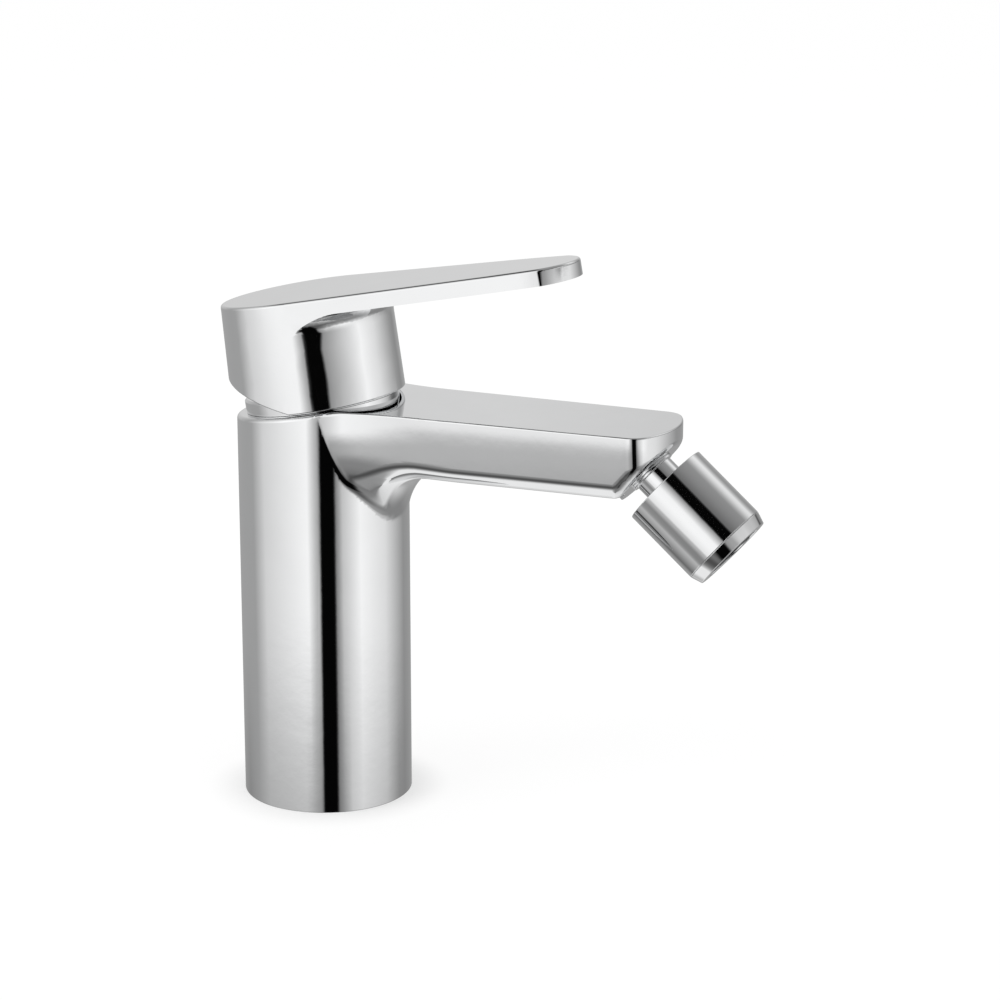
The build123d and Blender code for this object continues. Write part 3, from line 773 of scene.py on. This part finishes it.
    def _cut(self, skin: bmesh.types.BMesh) -> None:
        """Cuts the front faces at every level and slice.

        Args:
            skin: The merged skin.
        """
        cuts = [(Vector((0.0, 0.0, z)), (0.0, 0.0, 1.0)) for run in self.levels for z in np.arange(*run)]
        cuts += [(Vector((x, 0.0, 0.0)), (1.0, 0.0, 0.0)) for run in self.slices for x in np.arange(*run)]
        faces = [f for f in skin.faces if self._is_front(f)]
        edges = {e for f in faces for e in f.edges}
        verts = {v for f in faces for v in f.verts}
        geom = [*faces, *edges, *verts]
        for place, way in cuts:
            cut = bmesh.ops.bisect_plane(
                skin, geom=geom, dist=LEVEL_SLACK * MM, plane_co=place * MM, plane_no=way
            )
            geom = cut["geom"]

    def _is_front(self, face: bmesh.types.BMFace) -> bool:
        """Tells whether a face belongs to the outside of the casting's front.

        Args:
            face: The face.

        Returns:
            Whether it does.
        """
        high = max(v.co.z for v in face.verts) / MM
        far = max(v.co.x for v in face.verts) / MM
        near = min(math.hypot(v.co.x, v.co.y) for v in face.verts) / MM
        top = face.normal.z > self.top_facing
        return high > self.low and far > self.front and near > self.outside and not top


@dataclass
class TurnedPiece:
    """A piece turned on a lathe: one profile spun round its axis.

    Attributes:
        profile: Pairs of the radius and the height along the axis.
        axis_place: The axis in the shared frame.
        rounding: How far sharp rims are rounded.
        rim_angle: How much a rim turns at least to be sharp.
    """

    name: str
    node: str
    profile: Pairs
    axis_place: Matrix
    rounding: float
    steps: int = 128
    rim_steps: int = 3
    rim_angle: float = 32.0
    crease_angle: float = 40.0

    def build(self) -> bpy.types.Object:
        """Spins the profile, rounds its sharp rims and puts it in its place.

        Returns:
            The piece.
        """
        work = bmesh.new()
        corners = [work.verts.new((r * MM, 0.0, h * MM)) for r, h in self.profile]
        loop = [work.edges.new(ends) for ends in zip(corners, corners[1:] + corners[:1])]
        bmesh.ops.spin(
            work,
            geom=[*corners, *loop],
            axis=(0.0, 0.0, 1.0),
            cent=(0.0, 0.0, 0.0),
            angle=math.tau,
            steps=self.steps,
            use_merge=True,
        )
        bmesh.ops.remove_doubles(work, verts=work.verts, dist=MERGE_DISTANCE * MM)
        bmesh.ops.recalc_face_normals(work, faces=work.faces)
        bmesh.ops.bevel(
            work,
            geom=[e for e in work.edges if self._is_rim(e)],
            offset=self.rounding * MM,
            segments=self.rim_steps,
            affect="EDGES",
            profile=0.5,
            material=-1,
            clamp_overlap=True,
        )
        bmesh.ops.transform(work, matrix=self.axis_place, verts=work.verts)
        mark_creases(work, self.crease_angle)
        mesh = bpy.data.meshes.new(f"{self.name}_turned")
        work.to_mesh(mesh)
        work.free()
        piece = place_piece(self.name, mesh, self.node)
        even_normals(piece)
        return piece

    def _is_rim(self, edge: bmesh.types.BMEdge) -> bool:
        """Whether an edge is a sharp rim that the lathe left."""
        level = abs(edge.verts[0].co.z - edge.verts[1].co.z) < LEVEL_SLACK * MM
        return level and edge.calc_face_angle(0.0) > math.radians(self.rim_angle)


def round_run(radius: float, middle: float, angles: tuple[float, float], count: int) -> Pairs:
    """Gives the points of a ball's outline between two angles.

    Args:
        radius: The ball's radius.
        middle: How far down the axis its centre is.
        angles: The first and the last angle from the top of the axis.
        count: How many points.

    Returns:
        Pairs of radius and height.
    """
    start, end = angles
    run = []
    for i in range(count):
        turn = math.radians(start + (end - start) * i / (count - 1))
        run.append((radius * math.sin(turn), middle - radius * math.cos(turn)))
    return tuple(run)


@dataclass
class Outlet:
    """The ball-jointed outlet under the spout's nose.

    Heights are measured down the outlet's own axis, from the top of its housing.

    Attributes:
        top_x: How far out the middle of the housing's top is.
        top_z: How high up it is.
        turn: How far the axis is turned from straight up.
        waist: The radius and the height where the socket's round ends.
    """

    top_x: float = 97.68
    top_z: float = 95.97
    turn: float = 131.2
    radius: float = 12.0
    length: float = 21.7
    bore: float = 10.25
    ball_depth: float = 5.8
    socket_radius: float = 9.6
    socket_angles: tuple[float, float] = (90.0, 64.5)
    socket_points: int = 7
    waist: tuple[float, float] = (7.25, 1.67)
    top_opening: float = 7.6
    ring_top: float = 18.0
    ring_bore: float = 9.3
    ring_spigot: float = 10.2
    ring_gap: float = 0.02
    ring_bevel: float = 11.0
    ring_mouth: float = 8.6
    ring_ledge: float = 23.9
    ring_end: float = 24.8
    nipple_top: float = -10.5
    nipple_bore: float = 3.0
    nipple_thread: float = 5.45
    flange_radius: float = 6.6
    flange_top: float = -5.0
    flange_end: float = -4.2
    neck_radius: float = 5.6
    ball_radius: float = 7.6
    ball_angles: tuple[float, float] = (47.46, 156.75)
    ball_points: int = 22
    housing_rounding: float = 0.22
    ring_rounding: float = 0.18
    nipple_rounding: float = 0.15

    def place(self) -> Matrix:
        """Gives the outlet's axis in the shared frame.

        Returns:
            The matrix from the outlet's own frame.
        """
        turn = Matrix.Rotation(math.radians(self.turn), 4, "Y")
        return Matrix.Translation((self.top_x * MM, 0.0, self.top_z * MM)) @ turn

    def build(self) -> None:
        """Turns the housing, its bevelled ring and the ball nipple."""
        place = self.place()
        for node, profile, rounding in (
            ("outlet_housing", self._housing(), self.housing_rounding),
            ("outlet_ring", self._ring(), self.ring_rounding),
            ("ball_nipple", self._nipple(), self.nipple_rounding),
        ):
            TurnedPiece(f"{node}_turned", node, profile, place, rounding).build()

    def _housing(self) -> Pairs:
        """Gives the housing's profile.

        Returns:
            Pairs of radius and height.
        """
        return (
            (self.radius, 0.0),
            (self.radius, self.length),
            (self.bore, self.length),
            (self.bore, self.ball_depth),
            *round_run(self.socket_radius, self.ball_depth, self.socket_angles, self.socket_points),
            self.waist,
            (self.top_opening, 0.0),
        )

    def _ring(self) -> Pairs:
        """Gives the ring's profile.

        Returns:
            Pairs of radius and height.
        """
        return (
            (self.ring_bore, self.ring_top),
            (self.ring_spigot, self.ring_top),
            (self.ring_spigot, self.length),
            (self.radius, self.length + self.ring_gap),
            (self.ring_bevel, self.ring_end),
            (self.ring_mouth, self.ring_end),
            (self.ring_mouth, self.ring_ledge),
            (self.ring_bore, self.ring_ledge),
        )

    def _nipple(self) -> Pairs:
        """Gives the profile of the ball nipple.

        Returns:
            Pairs of radius and height.
        """
        return (
            (self.nipple_bore, self.nipple_top),
            (self.nipple_thread, self.nipple_top),
            (self.nipple_thread, self.flange_top),
            (self.flange_radius, self.flange_top),
            (self.flange_radius, self.flange_end),
            (self.neck_radius, self.flange_end),
            *round_run(self.ball_radius, self.ball_depth, self.ball_angles, self.ball_points),
        )


@dataclass
class Shroud:
    """The polished ring round the neck, square to the sloping top."""

    radius: float = 20.6
    bore: float = 18.7
    height: float = 3.8
    lip_bore: float = 16.5
    lip_low: float = 2.8
    chamfer: float = 0.6
    gap: float = 0.05
    rounding: float = 0.12

    def build(self) -> None:
        """Turns the ring and sets it on the body's sloping top."""
        tilt = Matrix.Rotation(math.radians(-NECK_SLOPE), 4, "Y")
        place = Matrix.Translation((0.0, 0.0, NECK_HEIGHT * MM)) @ tilt
        profile = (
            (self.bore, self.gap),
            (self.radius, self.gap),
            (self.radius, self.height - self.chamfer),
            (self.radius - self.chamfer, self.height),
            (self.lip_bore, self.height),
            (self.lip_bore, self.lip_low),
            (self.bore, self.lip_low),
        )
        TurnedPiece("shroud_ring_turned", "shroud_ring", profile, place, self.rounding).build()


@dataclass(frozen=True)
class InnerPieces:
    """The pieces whose form in the frame is already right, which only need a finish.

    Attributes:
        covered: The nodes that other pieces stand for.
    """

    covered: frozenset[str]

    def dress(self) -> None:
        """Gives every piece that isn't covered the finish of its slot."""
        for name, node in frame["nodes"].items():
            if name not in self.covered:
                dress(node.data, slot_of(name))
                log.info("%s dressed as %s", name, slot_of(name))


@dataclass(frozen=True)
class Band:
    """The studio's tones round the horizon at one height.

    Bearings are counted from the camera's side, and each screen is a bearing and a tone.

    Attributes:
        left: The screens on the left and behind, or all of them where there is no flag.
        flag: The bearings of the black flag's two edges, if it reaches this height.
        right: The screens on the right and behind.
        flag_tone: How bright the flag is.
    """

    height: float
    left: Pairs
    flag: tuple[float, ...] = ()
    right: Pairs = ()
    flag_tone: float = 0.05

    def stops(self) -> Pairs:
        """Gives the bearings and tones of the whole round, from left to right."""
        return (*self.left, *[(edge, self.flag_tone) for edge in self.flag], *self.right)


LEFT_SCREENS = ((-180, 0.8), (-120, 0.6), (-90, 0.85), (-55, 1.0), (-20, 0.95), (-7, 0.6))
BANDS = (
    Band(-64, ((-180, 0.9), (-60, 0.9), (-40, 0.6), (-10, 0.45), (30, 0.5), (80, 0.8), (180, 0.9))),
    Band(
        -45,
        left=((-180, 0.9), (-135, 0.4), (-80, 0.7), (-62, 0.3), (-6, 0.3)),
        flag=(-3, 16),
        right=((19, 0.3), (60, 0.5), (110, 0.5), (150, 0.75), (180, 0.9)),
    ),
    Band(
        -30,
        left=((-180, 0.65), (-135, 0.45), (-85, 0.65), (-60, 0.5), (-13, 0.5), (-6, 0.35)),
        flag=(-2, 16),
        right=((20, 0.35), (36, 0.55), (52, 0.6), (105, 0.5), (135, 0.5), (180, 0.65)),
    ),
    Band(
        -22,
        left=((-180, 0.6), (-135, 0.5), (-85, 0.65), (-27, 0.7), (-6, 0.55), (-3.5, 0.4)),
        flag=(-1.2, 15),
        right=((18.5, 0.45), (36, 0.75), (52, 0.8), (92, 0.7), (118, 0.5), (135, 0.5), (180, 0.6)),
    ),
    Band(
        -17,
        left=((-180, 0.6), (-108, 0.6), (-85, 0.8), (-20, 0.95), (-6, 0.65), (-3.5, 0.5)),
        flag=(-1.2, 15),
        right=((18.5, 0.5), (27, 0.75), (52, 0.95), (92, 0.85), (135, 0.55), (180, 0.6)),
    ),
    Band(
        2,
        left=LEFT_SCREENS,
        flag=(-4, 15.5),
        right=((20, 0.55), (38, 0.7), (72, 0.95), (97, 0.85), (147, 0.5), (180, 0.8)),
    ),
    Band(
        7,
        left=LEFT_SCREENS,
        flag=(-4, 15.5),
        right=((20, 0.55), (48, 0.7), (76, 0.15), (122, 0.1), (140, 0.4), (165, 0.7), (180, 0.8)),
    ),
    Band(
        12,
        left=LEFT_SCREENS,
        flag=(-4, 15.5),
        right=((20, 0.55), (48, 0.8), (72, 0.9), (110, 0.7), (147, 0.55), (180, 0.8)),
    ),
    Band(
        42,
        left=((-180, 0.7), (-150, 0.6), (-60, 0.9), (-20, 0.9), (-6, 0.4)),
        flag=(-3, 16),
        right=((22, 0.4), (92, 0.55), (130, 0.95), (150, 0.75), (180, 0.7)),
    ),
    Band(66, ((-180, 0.55), (-160, 0.25), (-50, 0.3), (-20, 0.55), (180, 0.55))),
    Band(80, ((-180, 0.55), (180, 0.55))),
)


@dataclass(frozen=True)
class Screens:
    """The white studio and its screens and flags, which show only in polished metal.

    Attributes:
        facing: The camera's bearing, from which the bands' bearings are counted.
        gamma: How a tone of the bands becomes light.
        metal_tone: How much light the metal gives back, which the screens make up for.
    """

    bands: tuple[Band, ...] = BANDS
    facing: float = PHOTO_BEARING
    gamma: float = 2.2
    metal_tone: float = 0.9

    def build(self) -> None:
        """Surrounds the object with white, and with the screens for glossy rays."""
        world = bpy.data.worlds.new("studio_world")
        bpy.context.scene.world = world
        world.use_nodes = True
        nodes = world.node_tree.nodes
        bench = NodeBench(world.node_tree)
        plain = nodes["Background"]
        bench.feed(plain, {"Color": WHITE, "Strength": 1.0})
        lit = bench.calc("POWER", self._tone(bench), self.gamma)
        lit = bench.calc("DIVIDE", lit, self.metal_tone)
        screens = bench.add("ShaderNodeBackground", {"Color": lit})
        glossy = bench.add("ShaderNodeLightPath").outputs["Is Glossy Ray"]
        bench.feed(nodes["World Output"], {"Surface": bench.mix_shaders(glossy, plain, screens)})
        log.info("studio built with %d bands", len(self.bands))

    def _tone(self, bench: NodeBench) -> bpy.types.NodeSocket:
        """Blends the bands from the lowest to the highest.

        Args:
            bench: The world's nodes.

        Returns:
            The tone in the way that is looked at.
        """
        way = bench.add("ShaderNodeTexCoord").outputs["Generated"]
        split = bench.add("ShaderNodeSeparateXYZ", {"Vector": way})
        back = bench.calc("MULTIPLY", split.outputs["Y"], -1.0)
        bearing = bench.calc("ARCTAN2", split.outputs["X"], back)
        turned = bench.calc("SUBTRACT", bearing, math.radians(self.facing) - math.pi)
        wrapped = bench.calc("FLOORED_MODULO", turned, math.tau)
        share = bench.calc("DIVIDE", wrapped, math.tau)
        rise = bench.calc("MULTIPLY", bench.calc("ARCSINE", split.outputs["Z"]), 180.0 / math.pi)
        tone = self._ramp(bench, self.bands[0], share)
        for lower, upper in zip(self.bands, self.bands[1:]):
            heights = {"Value": rise, "From Min": lower.height, "From Max": upper.height}
            step = bench.add("ShaderNodeMapRange", heights, interpolation_type="SMOOTHSTEP")
            inputs = {"Factor": step.outputs["Result"], "A": tone, "B": self._ramp(bench, upper, share)}
            tone = bench.add("ShaderNodeMix", inputs).outputs["Result"]
        return tone

    def _ramp(self, bench: NodeBench, band: Band, share: bpy.types.NodeSocket) -> bpy.types.NodeSocket:
        """Adds the tones of one band round the horizon.

        Args:
            bench: The world's nodes.
            band: The band.
            share: The bearing, from 0 to 1.

        Returns:
            The tone.
        """
        ramp = bench.add("ShaderNodeValToRGB", {"Fac": share})
        elements = ramp.color_ramp.elements
        elements.remove(elements[1])
        for index, (bearing, tone) in enumerate(band.stops()):
            place = (bearing + 180.0) / 360.0
            stop = elements[0] if index == 0 else elements.new(place)
            stop.position = place
            stop.color = (tone, tone, tone, 1.0)
        return ramp.outputs["Color"]


@dataclass(frozen=True)
class Floor:
    """The pale floor, which keeps the object's soft shadow. Its lengths are in metres.

    Attributes:
        size: Half the floor's width.
        foot_radius: How far out the body's foot reaches.
        painted_shadow_width: How far beyond it the floor is darker, a painted shade round the foot.
        glow_shares: How much of the floor's look is its own glow, at the foot and away from it; the lower
            share at the foot paints shade there on top of the real shadow.
        glow: How strong that glow is.
    """

    size: float = 6.0
    foot_radius: float = 0.023
    painted_shadow_width: float = 0.012
    glow_shares: tuple[float, float] = (0.45, 0.8)
    glow: float = 1.04
    tone: float = 0.82
    roughness: float = 0.9

    def build(self) -> None:
        """Lays the floor, out of sight of the polished metal."""
        work = bmesh.new()
        bmesh.ops.create_grid(work, x_segments=1, y_segments=1, size=self.size)
        mesh = bpy.data.meshes.new("floor")
        work.to_mesh(mesh)
        work.free()
        mesh.materials.append(self._material())
        floor = bpy.data.objects.new("floor", mesh)
        bpy.context.scene.collection.objects.link(floor)
        floor.visible_glossy = False

    def _material(self) -> bpy.types.Material:
        """Paints the floor, with a glow for the camera that is weaker close to the foot, so that a
        painted shade rings the foot.

        Returns:
            The node-based material.
        """
        made = bpy.data.materials.new("pale_floor")
        made.use_nodes = True
        nodes = made.node_tree.nodes
        bench = NodeBench(made.node_tree)
        paint = nodes["Principled BSDF"]
        colour = (self.tone, self.tone, self.tone, 1.0)
        bench.feed(paint, {"Base Color": colour, "Roughness": self.roughness})
        glow = bench.add("ShaderNodeEmission", {"Color": WHITE, "Strength": self.glow})
        place = bench.add("ShaderNodeTexCoord").outputs["Object"]
        away = bench.add("ShaderNodeVectorMath", {0: place}, operation="LENGTH").outputs["Value"]
        # The glow's share falls towards the foot: a painted shade ring that deepens the real contact
        # shadow.
        fade = {
            "Value": away,
            "From Min": self.foot_radius,
            "From Max": self.foot_radius + self.painted_shadow_width,
            "To Min": self.glow_shares[0],
            "To Max": self.glow_shares[1],
        }
        glow_with_painted_shade = bench.add("ShaderNodeMapRange", fade, interpolation_type="SMOOTHSTEP")
        seen = bench.add("ShaderNodeLightPath").outputs["Is Camera Ray"]
        share = bench.calc("MULTIPLY", seen, glow_with_painted_shade.outputs["Result"])
        bench.feed(nodes["Material Output"], {"Surface": bench.mix_shaders(share, paint, glow)})
        return made


@dataclass(frozen=True)
class Lamp:
    """A soft square window lamp that looks at the object. Its lengths are in metres."""

    name: str
    place: tuple[float, float, float]
    size: float
    watts: float
    aim: tuple[float, float, float] = (0.03, 0.0, 0.07)

    def build(self) -> None:
        """Hangs the lamp, out of sight of the polished metal."""
        data = bpy.data.lights.new(self.name, "AREA")
        data.shape, data.size, data.energy = "SQUARE", self.size, self.watts
        lamp = bpy.data.objects.new(self.name, data)
        lamp.location = self.place
        way = Vector(self.aim) - Vector(self.place)
        lamp.rotation_euler = way.to_track_quat("-Z", "Y").to_euler()
        lamp.visible_glossy = False
        bpy.context.scene.collection.objects.link(lamp)


@dataclass(frozen=True)
class PhotoCamera:
    """The camera where the photographer stood.

    Attributes:
        bearing: How far it stands round the column from the side.
        rise: How far it looks down.
        distance: How far it is from the point it aims at.
        aim_out: How far that point is to the right of the column's axis.
        aim_up: How high up it is.
    """

    bearing: float = PHOTO_BEARING
    rise: float = 15.15
    distance: float = 811.32
    aim_out: float = 47.46
    aim_up: float = 81.46
    lens: float = 108.0
    sensor: float = 36.0
    clip: tuple[float, float] = (10.0, 20000.0)

    def build(self) -> None:
        """Sets up the camera and makes it the scene's own."""
        turn, rise = math.radians(self.bearing), math.radians(self.rise)
        aim = Vector((math.cos(turn) * self.aim_out, math.sin(turn) * self.aim_out, self.aim_up)) * MM
        level = math.cos(rise)
        back = Vector((math.sin(turn) * level, -math.cos(turn) * level, math.sin(rise)))
        data = bpy.data.cameras.new("photo_camera")
        data.lens, data.sensor_width = self.lens, self.sensor
        data.clip_start, data.clip_end = (distance * MM for distance in self.clip)
        camera = bpy.data.objects.new("photo_camera", data)
        camera.location = aim + back * self.distance * MM
        camera.rotation_euler = (-back).to_track_quat("-Z", "Y").to_euler()
        bpy.context.scene.collection.objects.link(camera)
        bpy.context.scene.camera = camera


def main() -> None:
    """Builds every sub-assembly, the studio and the camera."""
    logging.basicConfig(level=logging.INFO, format="%(message)s")
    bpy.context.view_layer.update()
    bpy.context.scene.view_settings.view_transform = "Standard"
    BodyCasting("mixer_body").build()
    even_normals(Casting("handle").build())
    Shroud().build()
    Outlet().build()
    covered = {"mixer_body", "handle", "shroud_ring", "outlet_housing", "outlet_ring", "ball_nipple"}
    InnerPieces(frozenset(covered)).dress()
    Floor().build()
    Screens().build()
    Lamp("key_window", (-0.9, -1.1, 1.6), size=1.0, watts=9.0).build()
    Lamp("fill_window", (1.3, -0.6, 1.3), size=1.2, watts=5.0).build()
    PhotoCamera().build()


if __name__ == "__main__":
    main()
